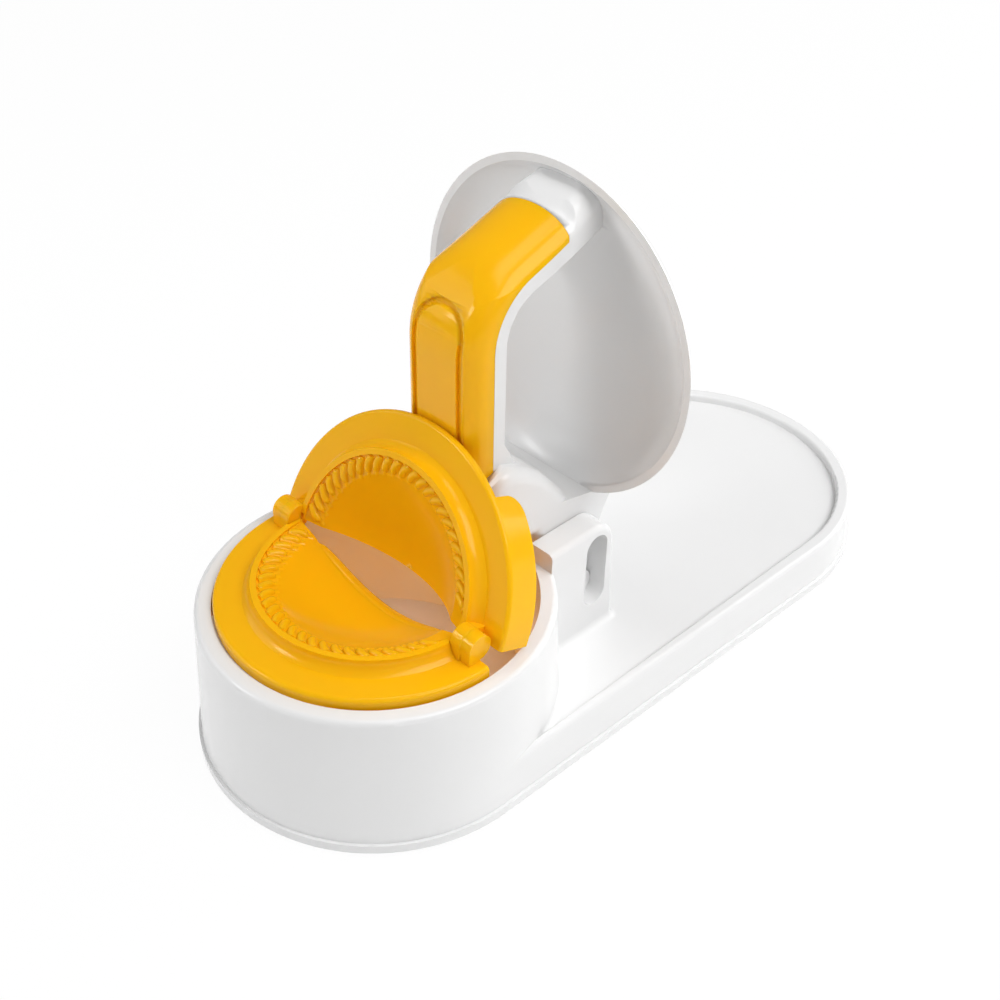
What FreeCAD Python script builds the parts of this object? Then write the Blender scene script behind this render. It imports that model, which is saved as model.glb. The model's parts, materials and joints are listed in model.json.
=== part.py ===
import FreeCAD, Part
import Sketcher
import math
import os

from FreeCAD import Placement, Rotation, Vector

# Hand press for filled pastry. A round tub holds a folding mould, a flat plate takes
# the dough, and a lever with a handle and a round press dish swings between the two.
# X runs from the tub to the plate, Y points away from the near side, Z is up.
# The origin is on the ground in the middle of the footprint.

SIZES = {
    # base: footprint and bottom flange
    "tub_foot_radius": 60,
    "plate_foot_radius": 63.1,
    "plate_distance": 157.7,
    "ground_gap": 0.8,
    "flange_height": 3.2,
    "flange_proud": 1,
    # base: tub
    "wall_draft_angle": 3.1,
    "rim_height": 52.5,
    "rim_outer_round": 1.8,
    "rim_inner_round": 1.2,
    "rim_width": 5.27,
    "tub_bore_lean": 1.4,
    "tub_floor_thickness": 2.2,
    "tub_skin": 2.1,
    "groove_reach": 40,
    "groove_angle": 264,
    # base: plate and its recess
    "plate_height": 19.2,
    "plate_edge_round": 1.6,
    "plate_rim_width": 6.1,
    "recess_depth": 3,
    "recess_round": 1,
    "plate_skin": 2.6,
    "side_skin": 2.8,
    # base: hinge cheeks
    "cheek_outer": 31.4,
    "cheek_inner": 22,
    "cheek_top": 59.5,
    "cheek_foot_reach": 10.5,
    "cheek_top_reach": 7.9,
    "cheek_round": 9,
    "cheek_edge_round": 2,
    "cheek_sink": 5.1,
    "blend_round": 2.5,
    "notch_floor": 28,
    # base: pivot slot in each cheek
    "pivot_beyond_tub": 7.5,
    "pivot_height": 32,
    "slot_rise": 19,
    "stud_radius": 4.85,
    "stud_clearance": 0.05,
    "stud_reach": 3,
    # base: seat of the mould
    "ledge_width": 3.4,
    "ledge_thickness": 3,
    "ledge_angle": 64,
    # feet
    "foot_radius": 6,
    "foot_thickness": 2,
    "foot_play": 0.2,
    "boss_wall": 1.8,
    "tub_foot_back": 22,
    "tub_foot_side": 37,
    "plate_foot_out": 18,
    "plate_foot_side": 38,
    # mould halves: hinge
    "mould_axis_height": 60.2,
    "mould_gap": 0.3,
    "opening_angle": 112.5,
    "ear_radius": 4.3,
    "ear_thickness": 4,
    "ear_play": 0.3,
    "ear_inset": 12.2,
    "pin_radius": 2,
    "pin_clearance": 0.05,
    # mould halves: flange, lip and bowl
    "mould_play": 0.7,
    "mould_flange_width": 9,
    "flange_depth": 4.7,
    "flange_skin": 1.9,
    "skirt_depth": 8.5,
    "skirt_wall": 1.9,
    "skirt_round": 1.2,
    "lip_foot_width": 2.8,
    "lip_width": 1.9,
    "tooth_band": 6.3,
    "bowl_edge_depth": 3.3,
    "bowl_depth": 14.2,
    "bowl_wall": 1.7,
    "wing_depth": 16.5,
    "wing_width": 20.4,
    "wing_round": 5,
    # mould halves: pleat teeth
    "tooth_count": 25,
    "tooth_radius": 1.5,
    "tooth_sink": 0.75,
    "tooth_skew_angle": 36,
    "tooth_end_angle": 10,
    # lever: dish
    "dish_overhang": 0.3,
    "dish_centre_rise": 85,
    "dish_depth": 8.6,
    "dish_flat_radius": 40,
    "dish_wall": 2,
    "press_gap": 0.3,
    # lever: hub
    "hub_play": 0.3,
    "hub_rise": 59,
    "hub_end_radius": 8.4,
    "hub_edge_round": 4.4,
    # lever: handle
    "handle_front": 25.8,
    "handle_thickness": 13.6,
    "handle_round": 6.5,
    "shell_thickness": 4.6,
    "handle_half_width": 15.5,
    "tip_half_width": 12.4,
    "taper_start": 47,
    "taper_low_rise": 12,
    "front_bend_rise": 32.3,
    "front_bend_round": 30,
    "front_slope_angle": 20,
    "split_bend_rise": 28.8,
    "split_bend_round": 22,
    "split_slope_angle": 19,
    "back_bend_rise": 26.1,
    "back_bend_round": 16,
    "back_slope_angle": 16,
    # lever: small fins between the handle and the hub
    "fin_rise": 65.5,
    "fin_shoulder_rise": 55.9,
    "fin_foot_rise": 51,
    "fin_reach": 5.2,
    "fin_thickness": 2,
    # lever: grip cover
    "cover_gap": 0.1,
    "cover_end": 64.8,
    "cover_foot_rise": 46,
    "panel_half_width": 8.4,
    "panel_top_rise": 25.5,
    "panel_foot_drop": 28.5,
    "panel_groove_width": 2.2,
    "panel_groove_depth": 1.1,
    # one overrun for every cut
    "overrun": 6,
}

doc = FreeCAD.newDocument("press")
sheet = doc.addObject("Spreadsheet::Sheet", "sizes")
for row, (alias, number) in enumerate(SIZES.items(), start=1):
    sheet.set("A" + str(row), alias)
    sheet.set("B" + str(row), str(number))
    sheet.setAlias("B" + str(row), alias)
doc.recompute()


class Size:
    """A number together with the sheet formula that gives it."""

    def __init__(self, number, formula):
        self.number = float(number)
        self.formula = formula

    def _pair(self, other, sign, number):
        text = other.formula if isinstance(other, Size) else str(other)
        return Size(number, "(" + self.formula + " " + sign + " " + text + ")")

    def __add__(self, other):
        return self._pair(other, "+", self.number + plain(other))

    def __sub__(self, other):
        return self._pair(other, "-", self.number - plain(other))

    def __mul__(self, other):
        return self._pair(other, "*", self.number * plain(other))

    def __truediv__(self, other):
        return self._pair(other, "/", self.number / plain(other))

    def __neg__(self):
        return Size(-self.number, "(0 - " + self.formula + ")")


def plain(value):
    return value.number if isinstance(value, Size) else float(value)


def root(value):
    return Size(math.sqrt(value.number), "sqrt(" + value.formula + ")")


def sine(angle):
    return Size(math.sin(math.radians(angle.number)), "sin(" + angle.formula + " * 1 deg)")


def cosine(angle):
    return Size(math.cos(math.radians(angle.number)), "cos(" + angle.formula + " * 1 deg)")


def tangent(angle):
    return Size(math.tan(math.radians(angle.number)), "tan(" + angle.formula + " * 1 deg)")


def size(alias):
    return Size(sheet.get(alias), "sizes." + alias)


ZERO = Size(0, "0")
RIGHT_ANGLE = Size(90, "90")


def bind(thing, prop, value):
    """Bind one property to the sheet."""
    thing.setExpression(prop, value.formula)


def place(thing, x, y, z):
    bind(thing, "Placement.Base.x", x)
    bind(thing, "Placement.Base.y", y)
    bind(thing, "Placement.Base.z", z)


def origin_plane(body, role):
    for feature in body.Origin.OriginFeatures:
        if feature.Role == role:
            return feature
    raise ValueError(role)


def new_body(label):
    body = doc.addObject("PartDesign::Body", label)
    body.Label = label
    return body


def pin_point(sketch, geometry, point, x, y, names):
    """Hold one point at two sheet formulas, measured from the sketch's origin."""
    for kind, along, value in (("DistanceX", "Vertical", x), ("DistanceY", "Horizontal", y)):
        if value is None:
            continue
        if value.formula == "0":
            sketch.addConstraint(Sketcher.Constraint(along, -1, 1, geometry, point))
            continue
        index = sketch.addConstraint(
            Sketcher.Constraint(kind, -1, 1, geometry, point, value.number))
        name = "at" + str(len(names))
        names.append(name)
        sketch.renameConstraint(index, name)
        sketch.setExpression("Constraints." + name, value.formula)


def draw_loop(sketch, points, names):
    """Draw one closed loop. Each point is (x, y), or (x, y, centre, turn) where an arc
    leaves it. The centre gives one coordinate and None for the other, which the two ends
    decide. The arc turns anticlockwise (1) or clockwise (-1)."""
    corners = []
    edges = []
    for index, here in enumerate(points):
        there = points[(index + 1) % len(points)]
        start = Vector(here[0].number, here[1].number, 0)
        end = Vector(there[0].number, there[1].number, 0)
        if len(here) > 2:
            known, turn = here[2], here[3]
            chord = end - start
            middle = (start + end) * 0.5
            across = Vector(-chord.y, chord.x, 0)
            if known[0] is not None:
                shift = (known[0].number - middle.x) / across.x
            else:
                shift = (known[1].number - middle.y) / across.y
            centre = middle + across * shift
            first = math.atan2(start.y - centre.y, start.x - centre.x)
            last = math.atan2(end.y - centre.y, end.x - centre.x)
            if turn < 0:
                first, last = last, first
            circle = Part.Circle(centre, Vector(0, 0, 1), (start - centre).Length)
            edge = sketch.addGeometry(Part.ArcOfCircle(circle, first, last), False)
            ends = (1, 2) if turn > 0 else (2, 1)
            edges.append((edge, known))
        else:
            edge = sketch.addGeometry(Part.LineSegment(start, end), False)
            ends = (1, 2)
        corners.append((edge, ends))
    for index, (edge, ends) in enumerate(corners):
        after, after_ends = corners[(index + 1) % len(corners)]
        sketch.addConstraint(
            Sketcher.Constraint("Coincident", edge, ends[1], after, after_ends[0]))
    for (edge, ends), here in zip(corners, points):
        pin_point(sketch, edge, ends[0], here[0], here[1], names)
    for edge, known in edges:
        pin_point(sketch, edge, 3, known[0], known[1], names)


def outline(body, name, role, points, offset=None, inner=None):
    """A closed sketch on an origin plane, with an inner loop where one is given."""
    sketch = body.newObject("Sketcher::SketchObject", name)
    sketch.AttachmentSupport = (origin_plane(body, role), [""])
    sketch.MapMode = "FlatFace"
    if offset is not None:
        for axis, value in zip("xyz", offset):
            bind(sketch, "AttachmentOffset.Base." + axis, value)
    names = []
    draw_loop(sketch, points, names)
    if inner is not None:
        draw_loop(sketch, inner, names)
    return sketch


def pad(body, name, sketch, length, midplane=False, reverse=False):
    feature = body.newObject("PartDesign::Pad", name)
    feature.Profile = sketch
    feature.Midplane = midplane
    feature.Reversed = reverse
    bind(feature, "Length", length)
    return feature


def pocket(body, name, sketch, length, midplane=False, reverse=False):
    feature = body.newObject("PartDesign::Pocket", name)
    feature.Profile = sketch
    feature.Midplane = midplane
    feature.Reversed = reverse
    bind(feature, "Length", length)
    return feature


def revolve(body, name, sketch, axis, angle=None):
    feature = body.newObject("PartDesign::Revolution", name)
    feature.Profile = sketch
    feature.ReferenceAxis = (sketch, [axis])
    feature.Midplane = True
    if angle is None:
        feature.Angle = 360
    else:
        bind(feature, "Angle", angle)
    return feature


def primitive(body, kind, name, sizes, x, y, z, turn=None):
    """An additive or subtractive primitive with bound sizes and place."""
    feature = body.newObject("PartDesign::" + kind, name)
    if turn is not None:
        feature.Placement = Placement(Vector(), turn)
    for prop, value in sizes.items():
        bind(feature, prop, value)
    place(feature, x, y, z)
    return feature


def round_edges(body, name, radius, wanted):
    """Round the edges of the body's tip that the test picks out."""
    doc.recompute()
    base = body.Tip
    picked = []
    for index, edge in enumerate(base.Shape.Edges, start=1):
        if wanted(edge):
            picked.append("Edge" + str(index))
    if not picked:
        raise ValueError("no edge to round for " + name)
    feature = body.newObject("PartDesign::Fillet", name)
    feature.Base = (base, picked)
    bind(feature, "Radius", radius)
    doc.recompute()
    return feature


def near(first, second):
    return abs(first - plain(second)) < NEAR


def at_height(edge, height):
    box = edge.BoundBox
    return near(box.ZMin, height) and near(box.ZMax, height)


def on_flank(edge, distance):
    """Whether an edge lies in the near or the far upright plane at this distance."""
    box = edge.BoundBox
    return near(abs(box.YMin), distance) and near(abs(box.YMax), distance)


NEAR = size("mould_gap").number / 10

# sizes that follow from the sheet

foot_r = size("tub_foot_radius")
end_r = size("plate_foot_radius")
reach = size("plate_distance")
tub_x = -(reach + end_r - foot_r) / 2
plate_x = tub_x + reach
ground = size("ground_gap")
flange_top = ground + size("flange_height")
proud = size("flange_proud")
rim = size("rim_height")
plate_top = size("plate_height")
floor_z = plate_top - size("recess_depth")
over = size("overrun")
tub_low_r = foot_r - proud
tub_top_r = tub_low_r - (rim - flange_top) * tangent(size("wall_draft_angle"))
bore_r = tub_top_r - size("rim_width")
pivot_x = tub_x + foot_r + size("pivot_beyond_tub")
pivot_z = size("pivot_height")
cheek_in = size("cheek_inner")
cheek_out = size("cheek_outer")
axis_z = size("mould_axis_height")


def stadium(inset):
    """Tub circle and plate circle joined by their common tangents, all drawn in."""
    small = foot_r - inset
    large = end_r - inset
    lean = (small - large) / reach
    across = root(Size(1, "1") - lean * lean)
    return [
        (tub_x + small * lean, -(small * across)),
        (plate_x + large * lean, -(large * across), (plate_x, None), 1),
        (plate_x + large * lean, large * across),
        (tub_x + small * lean, small * across, (tub_x, None), 1),
    ]


# base shell
base = new_body("base_shell")
flange_sketch = outline(base, "flange_outline", "XY_Plane", stadium(ZERO), (ZERO, ZERO, ground))
pad(base, "flange", flange_sketch, size("flange_height"))
plate_outline = stadium(proud)
plate_outline[-1] = plate_outline[-1][:2]
plate_sketch = outline(base, "plate_outline", "XY_Plane", plate_outline, (ZERO, ZERO, flange_top))
plate = pad(base, "plate", plate_sketch, plate_top - flange_top)
bind(plate, "TaperAngle", -size("wall_draft_angle"))
round_edges(base, "plate_edge", size("plate_edge_round"),
            lambda edge: near(edge.BoundBox.ZMin, plate_top) and edge.BoundBox.XLength > NEAR)

# the recess in which the dough is pressed, open towards the tub
recess_r = end_r - proud - size("plate_rim_width")
recess_points = [
    (tub_x, -recess_r),
    (plate_x, -recess_r, (plate_x, None), 1),
    (plate_x, recess_r),
    (tub_x, recess_r),
]
recess_sketch = outline(base, "recess_outline", "XY_Plane", recess_points, (ZERO, ZERO, floor_z))
pocket(base, "recess", recess_sketch, size("recess_depth") + over, reverse=True)

# hollow underside
skin = size("side_skin") + proud
hollow_sketch = outline(base, "hollow_outline", "XY_Plane", stadium(skin), (ZERO, ZERO, ZERO))
pocket(base, "hollow", hollow_sketch, floor_z - size("plate_skin"), reverse=True)

# tub, solid at first
primitive(base, "AdditiveCone", "tub",
          {"Radius1": tub_low_r, "Radius2": tub_top_r, "Height": rim - flange_top},
          tub_x, ZERO, flange_top)

# hinge block, cut into two cheeks further down
cheek_start = tub_x + bore_r - size("cheek_sink")
cheek_foot = pivot_x + size("cheek_foot_reach")
cheek_end = pivot_x + size("cheek_top_reach")
block_points = [
    (cheek_start, ground),
    (cheek_foot, ground),
    (cheek_foot, floor_z),
    (cheek_end, size("cheek_top")),
    (cheek_start, size("cheek_top")),
]
block_sketch = outline(base, "cheek_outline", "XZ_Plane", block_points)
pad(base, "hinge_block", block_sketch, cheek_out * 2, midplane=True)
round_edges(base, "cheek_end_round", size("cheek_round"),
            lambda edge: near(edge.CenterOfMass.x, cheek_end)
            and near(edge.CenterOfMass.z, size("cheek_top")))

# bore of the tub
tub_floor = flange_top + size("tub_floor_thickness")
primitive(base, "SubtractiveCone", "tub_bore",
          {"Radius1": bore_r - size("tub_bore_lean"), "Radius2": bore_r,
           "Height": rim - tub_floor},
          tub_x, ZERO, tub_floor)
primitive(base, "SubtractiveCylinder", "tub_mouth",
          {"Radius": bore_r, "Height": size("cheek_top") + over - rim},
          tub_x, ZERO, rim)

# the rim is a double wall, open from below
tub_skin = size("tub_skin")
groove_top = size("groove_reach")
groove_in = bore_r - size("tub_bore_lean") + tub_skin
groove_out = tub_low_r - size("side_skin")
groove_points = [
    (-groove_in, ZERO),
    (-groove_out, ZERO),
    (-(tub_top_r - tub_skin), groove_top),
    (-(bore_r + tub_skin - size("rim_inner_round")), groove_top),
]
groove_sketch = outline(base, "groove_outline", "XZ_Plane", groove_points, (tub_x, ZERO, ZERO))
groove = base.newObject("PartDesign::Groove", "rim_groove")
groove.Profile = groove_sketch
groove.ReferenceAxis = (groove_sketch, ["V_Axis"])
groove.Midplane = True
bind(groove, "Angle", size("groove_angle"))

# the way between the cheeks, cut down into the tub wall
channel_points = [
    (cheek_start - over, size("notch_floor")),
    (tub_x + tub_low_r, size("notch_floor")),
    (tub_x + tub_low_r, floor_z),
    (cheek_foot + over, floor_z),
    (cheek_foot + over, size("cheek_top") + over),
    (cheek_start - over, size("cheek_top") + over),
]
channel_sketch = outline(base, "channel_outline", "XZ_Plane", channel_points)
pocket(base, "channel", channel_sketch, cheek_in * 2, midplane=True)

# the channel is hollow from below too
under_points = [
    (tub_x + tub_low_r, ZERO),
    (cheek_foot + over, ZERO),
    (cheek_foot + over, floor_z - size("plate_skin")),
    (tub_x + tub_low_r, floor_z - size("plate_skin")),
]
under_sketch = outline(base, "channel_under_outline", "XZ_Plane", under_points)
pocket(base, "channel_under", under_sketch, cheek_in * 2, midplane=True)

# round-topped slot through both cheeks, where the studs of the lever turn
slot_r = size("stud_radius") + size("stud_clearance")
slot_top = pivot_z + size("slot_rise")
slot_points = [
    (pivot_x - slot_r, pivot_z, (None, pivot_z), 1),
    (pivot_x + slot_r, pivot_z),
    (pivot_x + slot_r, slot_top, (None, slot_top), 1),
    (pivot_x - slot_r, slot_top),
]
slot_sketch = outline(base, "slot_outline", "XZ_Plane", slot_points)
pocket(base, "pivot_slots", slot_sketch, (cheek_out + over) * 2, midplane=True)

# ledge in the tub that carries the lower half of the mould
ledge_top = axis_z - size("skirt_depth")
ledge_in = bore_r - size("ledge_width")
ledge_points = [
    (-(bore_r + tub_skin / 2), ledge_top - size("ledge_thickness")),
    (-ledge_in, ledge_top - size("ledge_thickness")),
    (-ledge_in, ledge_top),
    (-(bore_r + tub_skin / 2), ledge_top),
]
ledge_sketch = outline(base, "ledge_outline", "XZ_Plane", ledge_points, (tub_x, ZERO, ZERO))
revolve(base, "ledge", ledge_sketch, "V_Axis", size("ledge_angle"))

# bosses with sockets for the feet
foot_places = {
    "foot_tub_near": (tub_x - size("tub_foot_back"), -size("tub_foot_side")),
    "foot_tub_far": (tub_x - size("tub_foot_back"), size("tub_foot_side")),
    "foot_plate_near": (plate_x + size("plate_foot_out"), -size("plate_foot_side")),
    "foot_plate_far": (plate_x + size("plate_foot_out"), size("plate_foot_side")),
}
foot_r_hole = size("foot_radius") + size("foot_play")
for foot_name, (foot_x, foot_y) in foot_places.items():
    if "tub" in foot_name:
        boss_top = tub_floor - size("tub_floor_thickness") / 2
    else:
        boss_top = floor_z - size("plate_skin") / 2
    primitive(base, "AdditiveCylinder", foot_name + "_boss",
              {"Radius": foot_r_hole + size("boss_wall"), "Height": boss_top - ground},
              foot_x, foot_y, ground)
for foot_name, (foot_x, foot_y) in foot_places.items():
    primitive(base, "SubtractiveCylinder", foot_name + "_socket",
              {"Radius": foot_r_hole, "Height": size("foot_thickness")},
              foot_x, foot_y, ZERO)

# rounded edges
def on_tub(point):
    wanted = tub_low_r.number - (point.z - flange_top.number) * math.tan(math.radians(wall_draft))
    return near(math.hypot(point.x - tub_x.number, point.y), wanted)


def meets_tub(edge):
    return on_tub(edge.Vertexes[0].Point) and on_tub(edge.Vertexes[-1].Point)


wall_draft = size("wall_draft_angle").number
round_edges(base, "rim_outer", size("rim_outer_round"),
            lambda edge: at_height(edge, rim)
            and near(edge.BoundBox.XMin, tub_x - tub_top_r))
round_edges(base, "cheek_edges", size("cheek_edge_round"),
            lambda edge: on_flank(edge, cheek_out) and edge.BoundBox.ZMax > slot_top.number
            and edge.BoundBox.XMax > (pivot_x + slot_r).number + NEAR)
round_edges(base, "recess_edges", size("recess_round"),
            lambda edge: on_flank(edge, recess_r) and at_height(edge, plate_top))
round_edges(base, "foot_blends", size("blend_round"),
            lambda edge: at_height(edge, floor_z)
            and (meets_tub(edge) or on_flank(edge, cheek_out)))

# feet
for foot_name, (foot_x, foot_y) in foot_places.items():
    foot = doc.addObject("Part::Cylinder", foot_name)
    foot.Label = foot_name
    bind(foot, "Radius", size("foot_radius"))
    bind(foot, "Height", size("foot_thickness"))
    place(foot, foot_x, foot_y, ZERO)

# mould halves
def mould_half(name, lower):
    """One half, drawn with the hinge axis on Y and the bowl going down from the parting
    plane. The upper half is the same form turned over."""
    half = new_body(name)
    gap = size("mould_gap") / 2
    flange_r = bore_r - size("mould_play")
    flange_d = size("flange_depth")
    skin = size("flange_skin")
    wall = size("bowl_wall")
    lip_foot = flange_r - size("mould_flange_width")
    lip_out = lip_foot - size("lip_foot_width")
    lip_in = lip_out - size("lip_width")
    bowl_r = lip_in - size("tooth_band")
    bowl_edge = size("bowl_edge_depth")
    bowl_d = size("bowl_depth")
    skirt_in = flange_r - size("skirt_wall")

    # wings that reach down beside both hinge ears
    wing_d = size("wing_depth")
    wing_sketch = outline(half, name + "_wing_section", "XZ_Plane", [
        (-flange_r, -(flange_d + skin / 2)),
        (-flange_r, -wing_d),
        (-skirt_in, -wing_d),
        (-skirt_in, -(flange_d + skin / 2)),
    ])
    wing = revolve(half, name + "_wings", wing_sketch, "V_Axis")
    wing.Angle = 180
    gap_top = size("skirt_depth") if lower else flange_d + skin
    wing_y = flange_r - size("wing_width")
    corner_y = wing_y + size("wing_round")
    corner_d = wing_d - size("wing_round")
    gap_between = outline(half, name + "_wing_gap", "YZ_Plane", [
        (-wing_y, -gap_top),
        (-wing_y, -corner_d, (-corner_y, None), -1),
        (-corner_y, -wing_d),
        (-corner_y, -(wing_d + over)),
        (corner_y, -(wing_d + over)),
        (corner_y, -wing_d, (corner_y, None), -1),
        (wing_y, -corner_d),
        (wing_y, -gap_top),
    ])
    pocket(half, name + "_wing_cut", gap_between, (flange_r + over) * 2, midplane=True)

    # flange, lip, sloping band and bowl in one section
    profile = [
        (ZERO, -bowl_d, (ZERO, None), -1),
        (-bowl_r, -bowl_edge),
        (-lip_in, -(gap + wall / 2)),
        (-lip_in, -gap),
        (-lip_out, -gap, (None, -gap), -1),
        (-lip_foot, -flange_d),
        (-flange_r, -flange_d),
    ]
    if lower:
        profile += [
            (-flange_r, -size("skirt_depth")),
            (-skirt_in, -size("skirt_depth")),
            (-skirt_in, -(flange_d + skin)),
        ]
    else:
        profile.append((-flange_r, -(flange_d + skin)))
    profile += [
        (-(lip_foot - skin / 2), -(flange_d + skin)),
        (-lip_in, -(bowl_edge + wall)),
        (-(bowl_r + wall), -(bowl_edge + wall), (ZERO, None), 1),
        (ZERO, -(bowl_d + wall)),
    ]
    profile_sketch = outline(half, name + "_section", "XZ_Plane", profile)
    form = revolve(half, name + "_form", profile_sketch, "V_Axis")
    form.Angle = 180
    round_edges(half, name + "_skirt_edge", size("skirt_round"),
                lambda edge: at_height(edge, -flange_d)
                and near(-edge.BoundBox.XMin, flange_r))

    # slanted pleat teeth on the sloping band between the bowl and the lip
    band = size("tooth_band")
    drop = bowl_edge - gap - wall / 2
    fall = math.degrees(math.atan2(drop.number, band.number))
    half_span = RIGHT_ANGLE - size("tooth_end_angle")
    turn = Rotation(Vector(0, 0, 1), -half_span.number)
    lean = Rotation(Vector(0, 1, 0), RIGHT_ANGLE.number + fall)
    skew = Rotation(Vector(0, 0, 1), size("tooth_skew_angle").number)
    tooth = half.newObject("PartDesign::AdditiveCylinder", name + "_tooth")
    bind(tooth, "Radius", size("tooth_radius"))
    bind(tooth, "Height",
         root(band * band + drop * drop) / cosine(size("tooth_skew_angle")))
    tooth.Placement = Placement(Vector(), turn * skew * lean)
    place(tooth, -(lip_in * cosine(half_span)), lip_in * sine(half_span),
          -(gap + wall / 2 + size("tooth_sink")))
    doc.recompute()
    pattern = half.newObject("PartDesign::PolarPattern", name + "_teeth")
    pattern.Originals = [tooth]
    pattern.Axis = (profile_sketch, ["V_Axis"])
    bind(pattern, "Angle", half_span * 2)
    bind(pattern, "Occurrences", size("tooth_count"))
    half.Tip = pattern
    doc.recompute()

    # hinge ears: outside on the lower half, inside on the upper half
    ear_r = size("ear_radius")
    thick = size("ear_thickness")
    inner_face = flange_r - size("ear_inset")
    play = size("ear_play")
    outer_face = inner_face + thick + play
    if lower:
        ear_low = outer_face
        other_low = inner_face
    else:
        ear_low = inner_face
        other_low = outer_face
    stem = flange_d + skin / 2
    for side, sign in (("near", -1), ("far", 1)):
        low = other_low - play if sign > 0 else -(other_low + thick + play)
        primitive(half, "SubtractiveCylinder", name + "_room_" + side,
                  {"Radius": ear_r + play, "Height": thick + play * 2},
                  ZERO, low, ZERO, Rotation(Vector(1, 0, 0), -90))
    for side, sign in (("near", -1), ("far", 1)):
        low = ear_low if sign > 0 else -(ear_low + thick)
        primitive(half, "AdditiveCylinder", name + "_ear_" + side,
                  {"Radius": ear_r, "Height": thick},
                  ZERO, low, ZERO, Rotation(Vector(1, 0, 0), -90))
        primitive(half, "AdditiveBox", name + "_stem_" + side,
                  {"Length": ear_r, "Width": thick, "Height": stem}, -ear_r, low, -stem)
    if lower:
        for side, sign in (("near", -1), ("far", 1)):
            reach_in = thick + size("ear_play")
            low = ear_low - reach_in if sign > 0 else -ear_low
            primitive(half, "AdditiveCylinder", name + "_stud_" + side,
                      {"Radius": size("pin_radius"), "Height": reach_in},
                      ZERO, low, ZERO, Rotation(Vector(1, 0, 0), -90))
    else:
        for side, sign in (("near", -1), ("far", 1)):
            low = ear_low - over / 4 if sign > 0 else -(ear_low + thick + over / 4)
            primitive(half, "SubtractiveCylinder", name + "_eye_" + side,
                      {"Radius": size("pin_radius") + size("pin_clearance"),
                       "Height": thick + over / 2},
                      ZERO, low, ZERO, Rotation(Vector(1, 0, 0), -90))
    doc.recompute()
    return half


lower_half = mould_half("mould_lower", True)
place(lower_half, tub_x, ZERO, axis_z)
upper_half = mould_half("mould_upper", False)
upper_half.Placement = Placement(
    Vector(), Rotation(Vector(0, 1, 0), size("opening_angle").number)
    * Rotation(Vector(1, 0, 0), 180))
place(upper_half, tub_x, ZERO, axis_z)

# lever body
lever = new_body("lever_body")
dish_r = recess_r + size("dish_overhang")
dish_depth = size("dish_depth")
dish_flat = size("dish_flat_radius")
dish_wall = size("dish_wall")
dish_z = pivot_z + size("dish_centre_rise")
dish_face = pivot_x + pivot_z - floor_z - size("press_gap")
dish_rim = dish_face - dish_depth
flare = dish_r - dish_flat
bow = (flare * flare + dish_depth * dish_depth) / (dish_depth * 2)
inner_bow = bow - dish_wall
inner_rim = dish_flat + root(inner_bow * inner_bow - (bow - dish_depth) * (bow - dish_depth))
front = tub_x + size("handle_front")
back = front + size("handle_thickness")
split = back - size("shell_thickness")
width = size("handle_half_width")
tip_half = size("tip_half_width")
foot_z = pivot_z + size("cover_foot_rise")
cover_end = tub_x + size("cover_end")


class Arch:
    """One long side of the handle: it runs up, bends over and runs on at a slope."""

    def __init__(self, x, corner, radius, slope):
        self.x = x
        self.corner = corner
        self.radius = radius
        self.slope = slope
        self.run = radius * tangent((RIGHT_ANGLE - slope) / 2)

    def low(self, turn=None):
        point = (self.x, self.corner - self.run)
        return point + ((self.x + self.radius, None), turn) if turn else point

    def high(self, turn=None):
        point = (self.x + self.run * cosine(self.slope), self.corner + self.run * sine(self.slope))
        return point + ((self.x + self.radius, None), turn) if turn else point

    def at(self, x):
        return (x, self.corner + (x - self.x) * tangent(self.slope))

    def level(self, z, turn=None):
        across = self.radius * self.radius - (z - self.corner + self.run) * (z - self.corner + self.run)
        point = (self.x + self.radius - root(across), z)
        return point + ((self.x + self.radius, None), turn) if turn else point

    def carries(self, edge):
        """Whether an edge runs along this side, on the near or the far flank."""
        first, last = edge.Vertexes[0].Point, edge.Vertexes[-1].Point
        if first.y * last.y <= 0 or abs(first.y) < tip_half.number - NEAR:
            return False
        point = edge.valueAt((edge.FirstParameter + edge.LastParameter) / 2)
        if point.z <= self.low()[1].number:
            return near(point.x, self.x)
        if point.x >= self.high()[0].number:
            climb = (point.x - self.x.number) * math.tan(math.radians(self.slope.number))
            return near(point.z, self.corner + climb)
        centre = Vector((self.x + self.radius).number, point.y, (self.corner - self.run).number)
        return near((point - centre).Length, self.radius)

    def outside(self, gap):
        rise = gap / cosine(self.slope) - gap * tangent(self.slope)
        return Arch(self.x - gap, self.corner + rise, self.radius + gap, self.slope)


front_arch = Arch(front, dish_z + size("front_bend_rise"), size("front_bend_round"),
                  size("front_slope_angle"))
split_arch = Arch(split, dish_z + size("split_bend_rise"), size("split_bend_round"),
                  size("split_slope_angle"))
back_arch = Arch(back, dish_z + size("back_bend_rise"), size("back_bend_round"),
                 size("back_slope_angle"))

# back shell of the handle, with the full section at its tip
TIP_SHARES = [(0.4, 0), (0.66, 1.18), (0.88, 1.02)]
shell_points = [
    (back, foot_z),
    back_arch.low(-1),
    back_arch.high(),
    back_arch.at(dish_rim + dish_depth * TIP_SHARES[2][0]),
    (dish_rim + dish_depth * TIP_SHARES[2][0], dish_z + dish_flat * TIP_SHARES[2][1]),
    (dish_rim + dish_depth * TIP_SHARES[1][0], dish_z + dish_flat * TIP_SHARES[1][1]),
    front_arch.at(dish_rim + dish_depth * TIP_SHARES[0][0]),
    front_arch.at(cover_end),
    split_arch.at(cover_end),
    split_arch.high(1),
    split_arch.low(),
    (split, foot_z),
]
shell_sketch = outline(lever, "handle_section", "XZ_Plane", shell_points)
pad(lever, "handle_shell", shell_sketch, width * 2, midplane=True)

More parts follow.
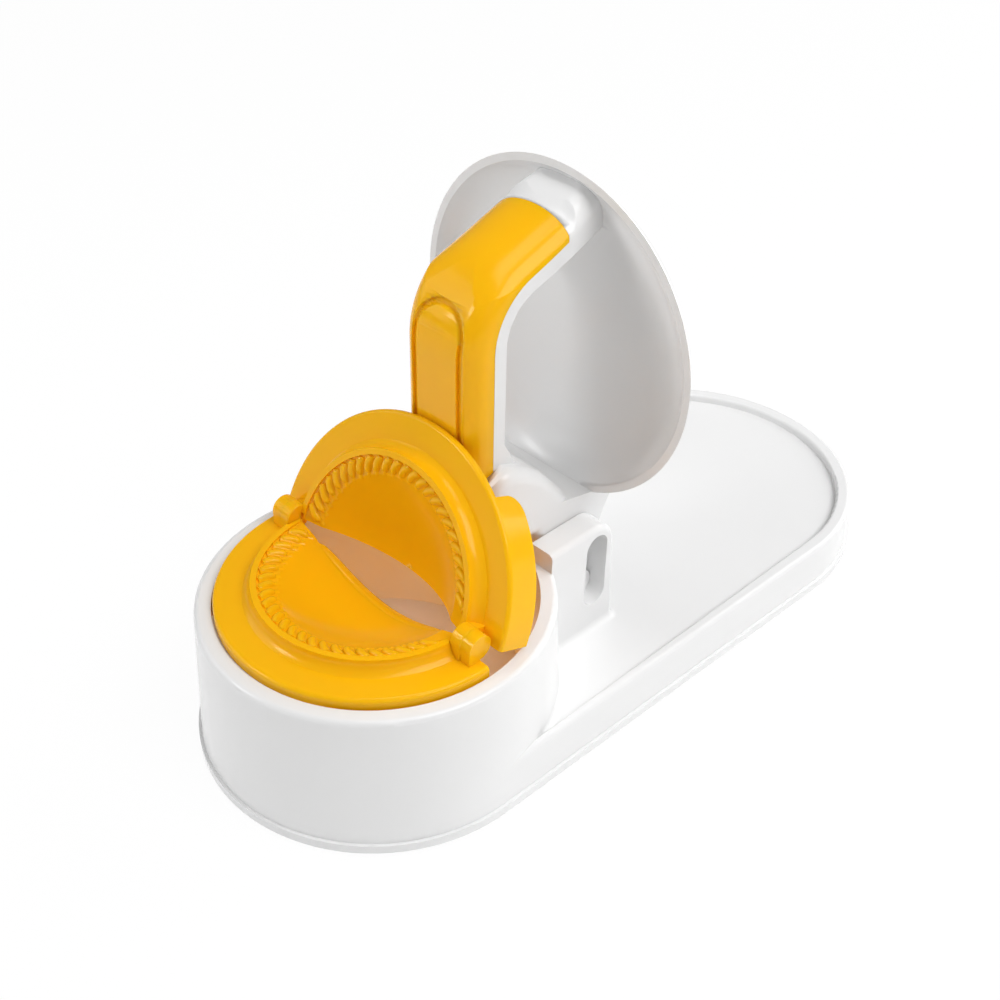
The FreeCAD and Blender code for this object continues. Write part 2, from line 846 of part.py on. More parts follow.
taper_start = tub_x + size("taper_start")
taper_low = dish_z + size("taper_low_rise")


def taper(body, name):
    """Draw both sides of the handle in towards its tip, in a long curve."""
    for side, sign in (("near", -1), ("far", 1)):
        points = [
            (taper_start, width * sign, (taper_start, None), -sign),
            (dish_face, tip_half * sign),
            (dish_face, (width + over) * sign),
            (taper_start, (width + over) * sign),
        ]
        sketch = outline(body, name + "_" + side + "_outline", "XY_Plane", points,
                         (ZERO, ZERO, taper_low))
        pocket(body, name + "_" + side, sketch, dish_r, reverse=True)


taper(lever, "shell_taper")
round_edges(lever, "tip_round", size("handle_round"),
            lambda edge: front_arch.carries(edge) and edge.CenterOfMass.x > cover_end.number)

# hub between the cheeks, drawn in shares of the box from handle to dish face and from
# pivot to hub top
hub_half = cheek_in - size("hub_play")
end_hub = size("hub_end_radius")
hub_width = dish_face - front
hub_rise = size("hub_rise")
HUB_BACK_SHARES = [
    (0.388, 0.475), (0.18, 0.51), (0.074, 0.64), (0.074, 0.95), (0.209, 1),
    (0.334, 0.95), (0.46, 0.865), (0.566, 0.75), (0.69, 0.6), (0.86, 0.565),
    (0.947, 0.88), (1, 0.88), (1, 0.475), (0.913, 0.3),
]
hub_points = [(front + hub_width * across_share, pivot_z + hub_rise * up_share)
              for across_share, up_share in HUB_BACK_SHARES]
hub_points += [
    (pivot_x + end_hub, pivot_z, (None, pivot_z), -1),
    (pivot_x - end_hub, pivot_z),
]
hub_sketch = outline(lever, "hub_section", "XZ_Plane", hub_points)
pad(lever, "hub", hub_sketch, hub_half * 2, midplane=True)
round_edges(lever, "hub_edges", size("hub_edge_round"),
            lambda edge: near(abs(edge.BoundBox.YMin), hub_half)
            and near(abs(edge.BoundBox.YMax), hub_half)
            and edge.BoundBox.YLength < NEAR
            and edge.CenterOfMass.x < (pivot_x - end_hub / 2).number)

# fins that stiffen the foot of the handle
for side, sign in (("near", -1), ("far", 1)):
    fin_sketch = outline(lever, "fin_" + side + "_section", "XZ_Plane", [
        (split, pivot_z + size("fin_foot_rise")),
        (back + size("fin_reach"), pivot_z + size("fin_foot_rise")),
        (back + size("fin_reach"), pivot_z + size("fin_shoulder_rise")),
        (back, pivot_z + size("fin_rise")),
        (split, pivot_z + size("fin_rise")),
    ], (ZERO, ZERO, (width - size("fin_thickness") / 2) * sign))
    pad(lever, "fin_" + side, fin_sketch, size("fin_thickness"), midplane=True)

# bed of the grip cover
bed_points = [
    (front - over, foot_z),
    (split, foot_z),
    (split, pivot_z + hub_rise + over),
    (front - over, pivot_z + hub_rise + over),
]
bed_sketch = outline(lever, "cover_bed_section", "XZ_Plane", bed_points)
pocket(lever, "cover_bed", bed_sketch, (width + size("cover_gap")) * 2, midplane=True)

# dish, hollow towards the handle
hollow_points = [
    (dish_rim, ZERO),
    (dish_rim, -inner_rim, (None, -dish_flat), 1),
    (dish_face - dish_wall, -dish_flat),
    (dish_face - dish_wall, ZERO),
]
dish_hollow_sketch = outline(lever, "dish_hollow_section", "XZ_Plane", hollow_points,
                             (ZERO, dish_z, ZERO))
dish_hollow = lever.newObject("PartDesign::Groove", "dish_hollow")
dish_hollow.Profile = dish_hollow_sketch
dish_hollow.ReferenceAxis = (dish_hollow_sketch, ["H_Axis"])
dish_hollow.Midplane = True
dish_hollow.Angle = 180
dish_points = [
    (dish_face, ZERO),
    (dish_face, dish_flat, (None, dish_flat), 1),
    (dish_rim, dish_r),
    (dish_rim, inner_rim, (None, dish_flat), -1),
    (dish_face - dish_wall, dish_flat),
    (dish_face - dish_wall, ZERO),
]
dish_sketch = outline(lever, "dish_section", "XZ_Plane", dish_points, (ZERO, dish_z, ZERO))
revolve(lever, "dish", dish_sketch, "H_Axis")

primitive(lever, "AdditiveCylinder", "pivot_studs",
          {"Radius": size("stud_radius"), "Height": (cheek_in + size("stud_reach")) * 2},
          pivot_x, -(cheek_in + size("stud_reach")), pivot_z, Rotation(Vector(1, 0, 0), -90))

# grip cover
cover = new_body("grip_cover")
gap = size("cover_gap")
cover_back_arch = split_arch.outside(gap)
cover_points = [
    (front, foot_z + gap),
    front_arch.low(-1),
    front_arch.high(),
    front_arch.at(cover_end - gap),
    cover_back_arch.at(cover_end - gap),
    cover_back_arch.high(1),
    cover_back_arch.low(),
    (cover_back_arch.x, foot_z + gap),
]
cover_sketch = outline(cover, "cover_section", "XZ_Plane", cover_points)
pad(cover, "cover", cover_sketch, width * 2, midplane=True)
taper(cover, "cover_taper")
round_edges(cover, "cover_round", size("handle_round"), front_arch.carries)


def pill(half_width, top, foot):
    """An upright form with round ends, drawn in Y and Z."""
    return [
        (half_width, top - half_width, (None, top - half_width), 1),
        (-half_width, top - half_width),
        (-half_width, foot + half_width, (None, foot + half_width), 1),
        (half_width, foot + half_width),
    ]


# bare panel on the front of the handle, set off by a groove that follows the bend
groove_width = size("panel_groove_width")
panel_half = size("panel_half_width")
panel_top = dish_z + size("panel_top_rise")
panel_foot = dish_z - size("panel_foot_drop")
ring_sketch = outline(
    cover, "panel_groove_outline", "YZ_Plane",
    pill(panel_half + groove_width, panel_top + groove_width, panel_foot - groove_width),
    (ZERO, ZERO, front), inner=pill(panel_half, panel_top, panel_foot))
pocket(cover, "panel_groove", ring_sketch, (size("handle_thickness") + over) * 2, midplane=True)
groove_floor = front_arch.outside(-size("panel_groove_depth"))
floor_points = [
    (groove_floor.x, panel_foot - groove_width),
    groove_floor.low(-1),
    groove_floor.level(panel_top + groove_width),
    cover_back_arch.level(panel_top + groove_width, 1),
    cover_back_arch.low(),
    (cover_back_arch.x, panel_foot - groove_width),
]
floor_sketch = outline(cover, "panel_groove_floor", "XZ_Plane", floor_points)
pad(cover, "panel_groove_back", floor_sketch, (panel_half + groove_width) * 2, midplane=True)

doc.recompute()

# check and write
for thing in doc.Objects:
    if "Invalid" in thing.State or "Error" in thing.State:
        raise RuntimeError("not computed: " + thing.Name + " " + str(thing.State))

pieces = ["base_shell", "mould_lower", "mould_upper", "lever_body", "grip_cover"]
pieces += list(foot_places)
os.makedirs("parts", exist_ok=True)
for label in pieces:
    piece = doc.getObjectsByLabel(label)[0]
    shape = piece.Shape
    if shape.isNull() or not shape.isValid():
        raise RuntimeError("bad shape: " + label)
    box = shape.BoundBox
    print(label, "solids", len(shape.Solids), "volume", round(shape.Volume, 1),
          "x", round(box.XMin, 2), round(box.XMax, 2), "y", round(box.YMin, 2),
          round(box.YMax, 2), "z", round(box.ZMin, 2), round(box.ZMax, 2))
for label in pieces:
    doc.getObjectsByLabel(label)[0].Shape.exportStep("parts/" + label + ".step")
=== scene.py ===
import json
import math

import bmesh
import bpy
from mathutils import Matrix, Vector


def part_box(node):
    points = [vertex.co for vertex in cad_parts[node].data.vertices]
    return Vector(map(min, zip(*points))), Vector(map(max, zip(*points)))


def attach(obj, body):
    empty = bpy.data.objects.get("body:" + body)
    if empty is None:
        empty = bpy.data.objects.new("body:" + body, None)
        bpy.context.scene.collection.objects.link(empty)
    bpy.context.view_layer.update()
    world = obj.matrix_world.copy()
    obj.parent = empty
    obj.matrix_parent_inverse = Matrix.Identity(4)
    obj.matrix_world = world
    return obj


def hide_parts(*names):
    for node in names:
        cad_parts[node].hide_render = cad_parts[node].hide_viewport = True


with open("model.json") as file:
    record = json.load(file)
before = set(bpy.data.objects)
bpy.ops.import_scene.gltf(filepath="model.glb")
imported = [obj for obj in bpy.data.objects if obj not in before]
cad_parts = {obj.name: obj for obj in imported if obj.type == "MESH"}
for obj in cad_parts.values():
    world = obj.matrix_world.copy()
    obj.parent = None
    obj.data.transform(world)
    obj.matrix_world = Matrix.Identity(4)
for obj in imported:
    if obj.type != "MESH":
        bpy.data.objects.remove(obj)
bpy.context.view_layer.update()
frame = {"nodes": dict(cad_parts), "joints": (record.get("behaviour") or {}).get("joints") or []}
nodes = frame["nodes"]
joints = {joint["name"]: joint for joint in frame["joints"]}

# The camera stands where the photograph was taken from, looking at VIEW_TARGET.
VIEW_TARGET = Vector((-0.00636, 0.02039, 0.03855))
VIEW_DISTANCE = 0.50586
VIEW_AZIMUTH = -45.168
VIEW_ELEVATION = 37.355
VIEW_ROLL = 1.232
VIEW_LENS = 51.3
VIEW_NEAREST = 0.01
SENSOR = 36

# Lamps: direction from the object, distance, size and power.
OBJECT_MIDDLE = Vector((0, 0, 0.07))
LAMPS = {
    "lamp_left": ((-1, 0.57, 0.62), 1.2, 0.30, 2.7),
    "lamp_back_left": ((-0.8, 1, 0.6), 1.3, 0.8, 2.7),
    "lamp_top": ((0, 0, 1), 1.2, 0.4, 1.7),
    "lamp_front": ((0.1, -0.7, 1), 1.3, 0.8, 10.3),
    "lamp_front_left": ((-0.4, -1, 0.5), 1.4, 0.9, 0.8),
    "lamp_right": ((1, -0.3, 0.6), 1.4, 1.0, 8.9),
}
# A small lamp for the light that comes through the translucent moulds into the tub.
TUB_LAMP_PLACE = Vector((-0.098, -0.008, 0.026))
TUB_LAMP_BACK = (-0.6, -0.35, 0.7)
TUB_LAMP_SIZE = 0.03
TUB_LAMP_POWER = 0.0165
TUB_LAMP_COLOUR = (1, 0.4, 0.03)
WORLD_STRENGTH = 0.2

FLOOR_WIDTH = 6
FLOOR_GLOW = 0.95
FLOOR_ROUGHNESS = 0.9

WHITE = (0.83, 0.83, 0.83, 1)
YELLOW = (0.96, 0.485, 0.004, 1)
RUBBER = (0.5, 0.5, 0.49, 1)
PAPER = (1, 1, 1, 1)

# Moulded plastic: the share of the colour left in the clouds, and the range of roughness.
WHITE_SHADE = 0.99
WHITE_ROUGHNESS = (0.22, 0.26)
YELLOW_SHADE = 0.98
YELLOW_ROUGHNESS = (0.14, 0.19)
PLASTIC_IOR = 1.48
CLOUD_SCALE = 18
GLOSS_SCALE = 40
PEEL_SCALE = 120
PEEL_DETAIL = 1
PEEL_STRENGTH = 0.02
PEEL_DISTANCE = 0.0002
# Most of a noise lies between these two values.
NOISE_LOW = 0.3
NOISE_HIGH = 0.7

# The sockets of a mix node that mixes colours, by their places in its lists.
MIX_SHARE = 0
MIX_FIRST = 6
MIX_SECOND = 7
MIX_RESULT = 2

# The yellow shines warm and lets a little light in.
WARM_SPECULAR = 0.3
WARM_TINT = (1, 0.85, 0.6, 1)
SCATTER_WEIGHT = 0.2
SCATTER_RADIUS = (1, 0.5, 0.08)
SCATTER_SCALE = 0.006

RUBBER_SHADE = 0.85
RUBBER_SCALE = 400
RUBBER_ROUGHNESS = 0.75


def new_material(name):
    """A material with its node tree and its main shader."""
    material = bpy.data.materials.new(name)
    material.use_nodes = True
    tree = material.node_tree
    return material, tree, tree.nodes["Principled BSDF"]


def add_node(tree, kind, **values):
    """A node with values set on its inputs."""
    node = tree.nodes.new(kind)
    for key, value in values.items():
        node.inputs[key].default_value = value
    return node


def noise(tree, scale, detail=2):
    """Noise over the piece's own coordinates, in metres."""
    place = tree.nodes.new("ShaderNodeTexCoord")
    pattern = add_node(tree, "ShaderNodeTexNoise", Scale=scale, Detail=detail)
    tree.links.new(place.outputs["Object"], pattern.inputs["Vector"])
    return pattern.outputs["Fac"]


def spread(tree, value, low, high):
    """Map the usual range of a noise onto low to high."""
    node = tree.nodes.new("ShaderNodeMapRange")
    node.inputs["From Min"].default_value = NOISE_LOW
    node.inputs["From Max"].default_value = NOISE_HIGH
    node.inputs["To Min"].default_value = low
    node.inputs["To Max"].default_value = high
    node.interpolation_type = "SMOOTHSTEP"
    tree.links.new(value, node.inputs["Value"])
    return node.outputs["Result"]


def clouded(tree, colour, shade, share):
    """A colour mixed with a darker shade of itself by the share."""
    mix = tree.nodes.new("ShaderNodeMix")
    mix.data_type = "RGBA"
    mix.inputs[MIX_FIRST].default_value = colour
    mix.inputs[MIX_SECOND].default_value = tuple(part * shade for part in colour[:3]) + (1,)
    tree.links.new(share, mix.inputs[MIX_SHARE])
    return mix.outputs[MIX_RESULT]


def moulded_plastic(name, colour, shade, roughness):
    """Glossy moulded plastic: faint clouding, uneven gloss and a fine orange peel."""
    material, tree, shader = new_material(name)
    clouds = spread(tree, noise(tree, CLOUD_SCALE), 0, 1)
    tree.links.new(clouded(tree, colour, shade, clouds), shader.inputs["Base Color"])
    gloss = spread(tree, noise(tree, GLOSS_SCALE), *roughness)
    tree.links.new(gloss, shader.inputs["Roughness"])
    bump = add_node(tree, "ShaderNodeBump", Strength=PEEL_STRENGTH, Distance=PEEL_DISTANCE)
    tree.links.new(noise(tree, PEEL_SCALE, PEEL_DETAIL), bump.inputs["Height"])
    tree.links.new(bump.outputs["Normal"], shader.inputs["Normal"])
    shader.inputs["IOR"].default_value = PLASTIC_IOR
    return material, shader


def white_plastic():
    """The opaque white of the base and the lever."""
    return moulded_plastic("white_plastic", WHITE, WHITE_SHADE, WHITE_ROUGHNESS)[0]


def yellow_plastic():
    """The warm, slightly translucent yellow of the moulds and the grip cover."""
    material, shader = moulded_plastic("yellow_plastic", YELLOW, YELLOW_SHADE, YELLOW_ROUGHNESS)
    shader.inputs["Specular IOR Level"].default_value = WARM_SPECULAR
    shader.inputs["Specular Tint"].default_value = WARM_TINT
    shader.inputs["Subsurface Weight"].default_value = SCATTER_WEIGHT
    shader.inputs["Subsurface Radius"].default_value = SCATTER_RADIUS
    shader.inputs["Subsurface Scale"].default_value = SCATTER_SCALE
    return material


def pad_rubber():
    """The dull, finely mottled grey of the pads."""
    material, tree, shader = new_material("pad_rubber")
    mottled = clouded(tree, RUBBER, RUBBER_SHADE, noise(tree, RUBBER_SCALE))
    tree.links.new(mottled, shader.inputs["Base Color"])
    shader.inputs["Roughness"].default_value = RUBBER_ROUGHNESS
    return material


white = white_plastic()
yellow = yellow_plastic()
rubber = pad_rubber()

FINISHES = {
    "base_shell": white,
    "lever_body": white,
    "grip_cover": yellow,
    "mould_lower": yellow,
    "mould_upper": yellow,
    "foot_tub_near": rubber,
    "foot_tub_far": rubber,
    "foot_plate_near": rubber,
    "foot_plate_far": rubber,
}
for node_name, finish in FINISHES.items():
    for material_slot in nodes[node_name].material_slots:
        material_slot.material = finish


def ease(share):
    """A share that starts and ends slowly."""
    return share ** 2 * (3 - 2 * share)


def close_rings(form, rings):
    """Join a row of rings of corners into a solid with flat ends."""
    for first, second in zip(rings, rings[1:]):
        for count in range(len(first)):
            after = (count + 1) % len(first)
            form.faces.new((first[count], first[after], second[after], second[count]))
    form.faces.new(rings[0][::-1])
    form.faces.new(rings[-1])


def mesh_from(form, name):
    """The form as a mesh, with the form let go."""
    mesh = bpy.data.meshes.new(name)
    form.to_mesh(mesh)
    form.free()
    return mesh


def solid_from(form, name, place=Matrix.Identity(4)):
    """The form as a mesh that is moved by the place and faces outwards."""
    form.transform(place)
    bmesh.ops.recalc_face_normals(form, faces=form.faces)
    return mesh_from(form, name)


def new_piece(name, mesh, body, finish):
    """An object with one finish that rides on a body."""
    mesh.materials.clear()
    mesh.materials.append(finish)
    piece = bpy.data.objects.new(name, mesh)
    bpy.context.scene.collection.objects.link(piece)
    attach(piece, body)
    return piece


# The mould halves turn about an axis along Y through this point, and stand open at rest.
HINGE = Vector(joints["mould_close"]["pos_m"])
OPENING = -math.radians(joints["mould_close"]["range_deg"][0])
MIRROR = Matrix.Diagonal((1, -1, 1, 1))
UPPER_POSE = Matrix.Rotation(OPENING, 4, "Y") @ Matrix.Rotation(math.pi, 4, "X") @ MIRROR

# Pleats of one half, in metres from the hinge: a row of slanted petals inside the lip.
PLEAT_COUNT = 25
PLEAT_SPAN = math.radians(160)
PLEAT_SKEW = math.radians(36)
PLEAT_START = Vector((-0.0364, 0, -0.0016))
PLEAT_RUN = 0.0067
PLEAT_FALL = 0.0013
PLEAT_FALL_POWER = 1.5
PLEAT_BOW = 0.0006
PLEAT_RADIUS = 0.00135
PLEAT_BLUNTNESS = 5
PLEAT_END_SHARE = 0.02
PLEAT_STEPS = 10
PLEAT_SIDES = 12


def petal(form, turn):
    """A rounded ridge along a bowed, sinking line, with closed round ends."""
    along = Vector((math.cos(PLEAT_SKEW), math.sin(PLEAT_SKEW), 0))
    across = Vector((-along.y, along.x, 0))
    upward = Vector((0, 0, 1))
    rings = []
    for step in range(PLEAT_STEPS + 1):
        share = step / PLEAT_STEPS
        end = abs(2 * share - 1)
        radius = PLEAT_RADIUS * max(math.sqrt(1 - end ** PLEAT_BLUNTNESS), PLEAT_END_SHARE)
        middle = (PLEAT_START + along * (PLEAT_RUN * share)
                  + across * (PLEAT_BOW * math.sin(math.pi * share))
                  - upward * (PLEAT_FALL * share ** PLEAT_FALL_POWER))
        ring = []
        for side in range(PLEAT_SIDES):
            angle = 2 * math.pi * side / PLEAT_SIDES
            offset = across * math.cos(angle) + upward * math.sin(angle)
            ring.append(form.verts.new(turn @ (middle + offset * radius)))
        rings.append(ring)
    close_rings(form, rings)


def add_pleats(name, body, pose):
    """All petals of one half, set on the hinge by the pose."""
    form = bmesh.new()
    for count in range(PLEAT_COUNT):
        around = PLEAT_SPAN * (count / (PLEAT_COUNT - 1) - 0.5)
        petal(form, Matrix.Rotation(around, 4, "Z"))
    mesh = solid_from(form, name, Matrix.Translation(HINGE) @ pose)
    mesh.shade_smooth()
    piece = new_piece(name, mesh, body, yellow)


def add_upper_mould():
    """The upper half with its pleats slanting the other way, as in the photograph."""
    mesh = nodes["mould_upper"].data.copy()
    mesh.transform(MIRROR)
    mesh.flip_normals()
    piece = new_piece("upper_half", mesh, "mould_lid", yellow)
    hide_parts("mould_upper")


# The front line of the handle in X and Z: up, round a bend and on at a slope.
COVER_LOW, COVER_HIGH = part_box("grip_cover")
BEND_LOW = 0.1283
BEND_RADIUS = 0.030
BEND_STEPS = 20
SLOPE = math.radians(20)
# The arch over the grip starts at this step of the bend. Its sides lie this deep.
ARCH_START = 4
ARCH_DEPTH = 0.008
ARCH_HALF = COVER_HIGH.y + 0.0003
ARCH_STEPS = 36
# The solid above the arch: how far it reaches to the sides and up, how high it floats
# where the arch starts, and how far it sinks in where the arch is full.
CROWN_HALF = COVER_HIGH.y + 0.002
CROWN_HEIGHT = 0.012
CROWN_LIFT = 0.001
CROWN_SINK = 0.0001
# Along the slope: where the arch begins to fade, where it ends and in how many steps.
FADE_START = 0.0215
FADE_END = 0.0302
FADE_STEPS = 8
# Corners this close are one, faces this even are one, and edges this sharp stay sharp.
MERGE_DISTANCE = 1e-6
FLAT = math.radians(0.1)
SHARP = math.radians(30)


def front_line():
    """Points, outward directions and shares of the arch along the front of the handle."""
    line = []
    middle = Vector((COVER_LOW.x + BEND_RADIUS, 0, BEND_LOW))
    for step in range(ARCH_START, BEND_STEPS + 1):
        angle = math.pi - (math.pi / 2 - SLOPE) * step / BEND_STEPS
        outward = Vector((math.cos(angle), 0, math.sin(angle)))
        share = (step - ARCH_START) / (BEND_STEPS - ARCH_START)
        line.append((middle + outward * BEND_RADIUS, outward, ease(share)))
    corner, outward, _ = line[-1]
    along = Vector((math.cos(SLOPE), 0, math.sin(SLOPE)))
    for step in range(FADE_STEPS + 1):
        share = step / FADE_STEPS
        place = corner + along * (FADE_START + (FADE_END - FADE_START) * share)
        line.append((place, outward, 1 - ease(share)))
    return line


def crown():
    """The solid between the arched top of the grip and a box above it."""
    form = bmesh.new()
    rings = []
    for point, outward, share in front_line():
        point = point + outward * (CROWN_LIFT * (1 - share) - CROWN_SINK)
        ring = []
        for step in range(ARCH_STEPS + 1):
            angle = math.pi * (step / ARCH_STEPS - 0.5)
            drop = ARCH_DEPTH * (1 - math.cos(angle)) * share
            ring.append(point - outward * drop + Vector((0, ARCH_HALF * math.sin(angle), 0)))
        aside = Vector((0, CROWN_HALF - ARCH_HALF, 0))
        ring = [ring[0] - aside] + ring + [ring[-1] + aside]
        for side in (CROWN_HALF, -CROWN_HALF):
            ring.append(point + outward * CROWN_HEIGHT + Vector((0, side, 0)))
        rings.append([form.verts.new(place) for place in ring])
    close_rings(form, rings)
    return bpy.data.objects.new("crown", solid_from(form, "crown"))


def add_arched(node, name, finish):
    """A copy of a piece of the lever with the top of its grip end arched."""
    form = bmesh.new()
    form.from_mesh(nodes[node].data)
    bmesh.ops.remove_doubles(form, verts=form.verts, dist=MERGE_DISTANCE)
    bmesh.ops.dissolve_limit(form, angle_limit=FLAT, verts=form.verts, edges=form.edges)
    plain = bpy.data.objects.new("plain", mesh_from(form, "plain"))
    cutter = crown()
    bpy.context.scene.collection.objects.link(plain)
    bpy.context.scene.collection.objects.link(cutter)
    cut = plain.modifiers.new("crown", "BOOLEAN")
    cut.operation = "DIFFERENCE"
    cut.solver = "EXACT"
    cut.object = cutter
    graph = bpy.context.evaluated_depsgraph_get()
    mesh = bpy.data.meshes.new_from_object(plain.evaluated_get(graph))
    bpy.data.objects.remove(plain)
    bpy.data.objects.remove(cutter)
    mesh.name = name
    mesh.shade_smooth()
    mesh.set_sharp_from_angle(angle=SHARP)
    piece = new_piece(name, mesh, "lever", finish)
    even = piece.modifiers.new("even_normals", "WEIGHTED_NORMAL")
    even.mode = "FACE_AREA"
    even.keep_sharp = True
    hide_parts(node)


# The lower bowl runs on past the hinge in a thin curved lip, drawn across Y.
BOWL_RADIUS = 0.04786
BOWL_MIDDLE = 0.03362
LIP_REACH = 0.0036
LIP_SINK = 0.001
LIP_WALL = 0.0014
LIP_HALF_ANGLE = math.radians(37)
LIP_BLUNTNESS = 4
LIP_END_SHARE = 0.0316
LIP_STEPS = 40


def add_bowl_lip():
    """The lip of the lower bowl, in slices from the near end to the far end."""
    inner = BOWL_RADIUS
    middle = BOWL_RADIUS + LIP_WALL / 2
    outer = BOWL_RADIUS + LIP_WALL
    form = bmesh.new()
    rings = []
    for step in range(LIP_STEPS + 1):
        share = 2 * step / LIP_STEPS - 1
        angle = LIP_HALF_ANGLE * share
        reach = LIP_REACH * max(math.sqrt(1 - share ** LIP_BLUNTNESS), LIP_END_SHARE)
        shoulder = reach - LIP_WALL / 2
        slice_points = [(inner, -LIP_SINK), (inner, shoulder), (middle, reach),
                        (outer, shoulder), (outer, -LIP_SINK)]
        rings.append([form.verts.new((x, radius * math.sin(angle),
                                      BOWL_MIDDLE - radius * math.cos(angle)))
                      for radius, x in slice_points])
    close_rings(form, rings)
    mesh = solid_from(form, "bowl_lip", Matrix.Translation(HINGE))
    mesh.shade_smooth()
    piece = new_piece("bowl_lip", mesh, "base", yellow)


# Outline of a hinge ear of the lower half, in metres from the hinge in X and Z: a round
# head, drawn from EAR_ARC_START to EAR_ARC_END in degrees, on a waisted foot.
EAR_HEAD = 0.0045
EAR_ARC_START = 190
EAR_ARC_END = -35
EAR_ARC_STEPS = 25
EAR_FOOT = [(0.0031, -0.0031), (0.0021, -0.0039), (0.0026, -0.0049), (-0.0048, -0.0049)]
EAR_FACES = (0.03818, 0.0426)
EAR_BEVEL = 0.0004
EAR_BEVEL_STEPS = 3


def add_ear(name, side):
    """A hinge ear of the lower half on the side given by the sign."""
    outline = []
    for step in range(EAR_ARC_STEPS + 1):
        degrees = EAR_ARC_START + (EAR_ARC_END - EAR_ARC_START) * step / EAR_ARC_STEPS
        angle = math.radians(degrees)
        outline.append((EAR_HEAD * math.cos(angle), EAR_HEAD * math.sin(angle)))
    outline += EAR_FOOT
    form = bmesh.new()
    close_rings(form, [[form.verts.new((x, y * side, z)) for x, z in outline]
                       for y in EAR_FACES])
    piece = new_piece(name, solid_from(form, name, Matrix.Translation(HINGE)), "base", yellow)
    edge = piece.modifiers.new("edge", "BEVEL")
    edge.width = EAR_BEVEL
    edge.segments = EAR_BEVEL_STEPS
    edge.limit_method = "ANGLE"


def add_floor():
    """A white floor that fades into the background and keeps a faint shadow."""
    half = FLOOR_WIDTH / 2
    mesh = bpy.data.meshes.new("floor")
    mesh.from_pydata([(-half, -half, 0), (half, -half, 0), (half, half, 0), (-half, half, 0)],
                     [], [(0, 1, 2, 3)])
    floor = bpy.data.objects.new("floor", mesh)
    bpy.context.scene.collection.objects.link(floor)
    material, tree, shader = new_material("floor_paper")
    shader.inputs["Base Color"].default_value = PAPER
    shader.inputs["Roughness"].default_value = FLOOR_ROUGHNESS
    light = add_node(tree, "ShaderNodeEmission", Strength=1)
    paths = tree.nodes.new("ShaderNodeLightPath")
    either = tree.nodes.new("ShaderNodeMath")
    either.operation = "MAXIMUM"
    tree.links.new(paths.outputs["Is Camera Ray"], either.inputs[0])
    tree.links.new(paths.outputs["Is Glossy Ray"], either.inputs[1])
    share = tree.nodes.new("ShaderNodeMath")
    share.operation = "MULTIPLY"
    share.inputs[1].default_value = FLOOR_GLOW
    tree.links.new(either.outputs[0], share.inputs[0])
    mix = tree.nodes.new("ShaderNodeMixShader")
    tree.links.new(share.outputs[0], mix.inputs[0])
    tree.links.new(shader.outputs[0], mix.inputs[1])
    tree.links.new(light.outputs[0], mix.inputs[2])
    tree.links.new(mix.outputs[0], tree.nodes["Material Output"].inputs["Surface"])
    mesh.materials.append(material)


def add_world():
    """A faint white sky that the camera sees as plain white."""
    world = bpy.data.worlds.new("studio")
    world.use_nodes = True
    tree = world.node_tree
    back = tree.nodes["Background"]
    back.inputs["Color"].default_value = PAPER
    back.inputs["Strength"].default_value = WORLD_STRENGTH
    seen = add_node(tree, "ShaderNodeBackground", Color=PAPER, Strength=1)
    paths = tree.nodes.new("ShaderNodeLightPath")
    mix = tree.nodes.new("ShaderNodeMixShader")
    tree.links.new(paths.outputs["Is Camera Ray"], mix.inputs[0])
    tree.links.new(back.outputs[0], mix.inputs[1])
    tree.links.new(seen.outputs[0], mix.inputs[2])
    tree.links.new(mix.outputs[0], tree.nodes["World Output"].inputs["Surface"])
    bpy.context.scene.world = world


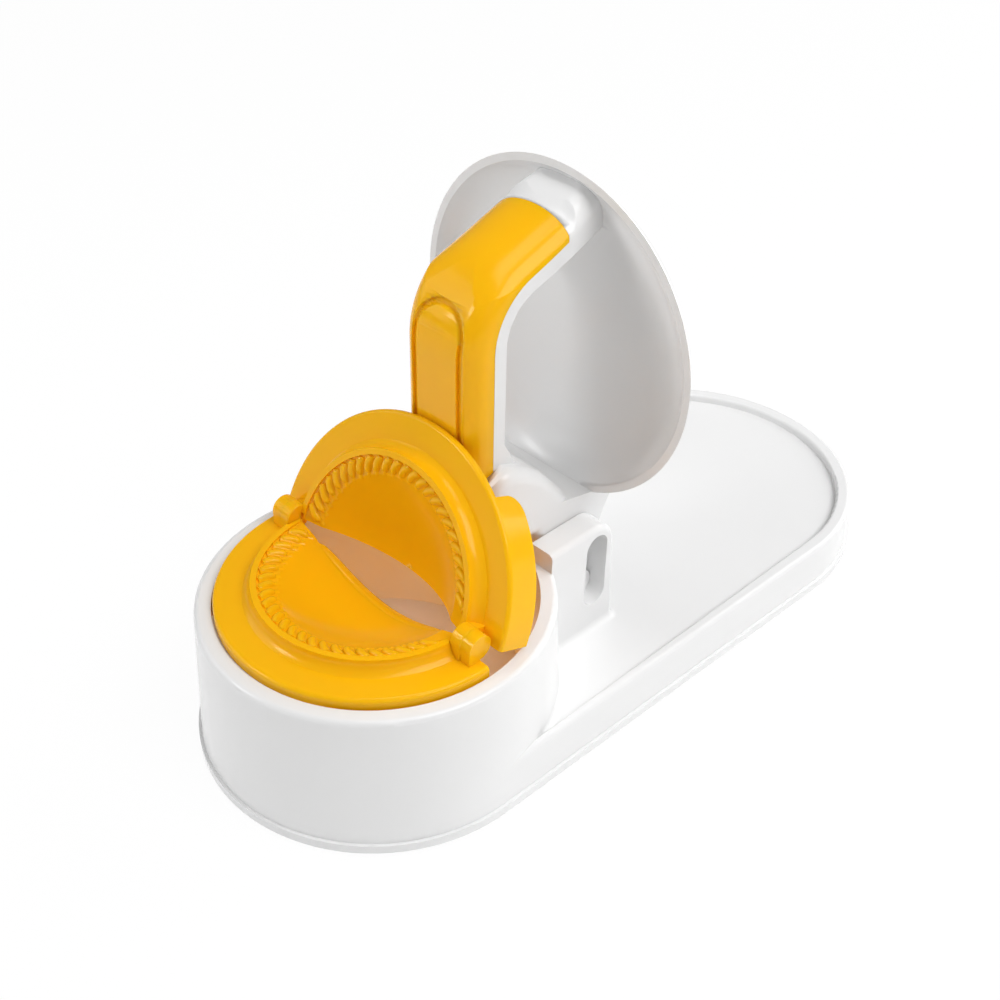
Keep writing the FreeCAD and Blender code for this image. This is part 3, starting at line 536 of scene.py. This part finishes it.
def add_lamp(name, place, backward, size, power):
    """A square lamp at the place, shining away from the backward direction."""
    lamp = bpy.data.lights.new(name, "AREA")
    lamp.shape = "SQUARE"
    lamp.size = size
    lamp.energy = power
    holder = bpy.data.objects.new(name, lamp)
    holder.location = place
    holder.rotation_euler = (-backward).to_track_quat("-Z", "Y").to_euler()
    bpy.context.scene.collection.objects.link(holder)
    return holder


def add_lamps():
    """The lamps of the studio."""
    for name, (direction, distance, size, power) in LAMPS.items():
        backward = Vector(direction).normalized()
        add_lamp(name, OBJECT_MIDDLE + backward * distance, backward, size, power)


def add_tub_lamp():
    """The warm lamp inside the tub, itself unseen."""
    backward = Vector(TUB_LAMP_BACK).normalized()
    holder = add_lamp("lamp_in_tub", TUB_LAMP_PLACE, backward, TUB_LAMP_SIZE, TUB_LAMP_POWER)
    holder.data.color = TUB_LAMP_COLOUR
    holder.visible_camera = False
    holder.visible_glossy = False


def add_camera():
    """The camera at its distance, turned by azimuth, elevation and roll."""
    around = math.radians(VIEW_AZIMUTH)
    above = math.radians(VIEW_ELEVATION)
    back = Vector((math.sin(around) * math.cos(above), -math.cos(around) * math.cos(above),
                   math.sin(above)))
    right = Vector((0, 0, 1)).cross(back).normalized()
    up = back.cross(right)
    roll = math.radians(VIEW_ROLL)
    rolled_right = right * math.cos(roll) + up * math.sin(roll)
    rolled_up = up * math.cos(roll) - right * math.sin(roll)
    data = bpy.data.cameras.new("camera")
    data.sensor_width = SENSOR
    data.lens = VIEW_LENS
    data.clip_start = VIEW_NEAREST
    camera = bpy.data.objects.new("camera", data)
    turn = Matrix((rolled_right, rolled_up, back)).transposed().to_4x4()
    camera.matrix_world = Matrix.Translation(VIEW_TARGET + back * VIEW_DISTANCE) @ turn
    bpy.context.scene.collection.objects.link(camera)
    bpy.context.scene.camera = camera


add_pleats("pleats_lower", "base", Matrix.Identity(4))
add_pleats("pleats_upper", "mould_lid", UPPER_POSE)
add_upper_mould()
add_arched("grip_cover", "arched_cover", yellow)
add_arched("lever_body", "arched_lever", white)
add_bowl_lip()
add_ear("ear_near", -1)
add_ear("ear_far", 1)
add_floor()
add_world()
add_lamps()
add_tub_lamp()
add_camera()
bpy.context.scene.view_settings.view_transform = "Standard"
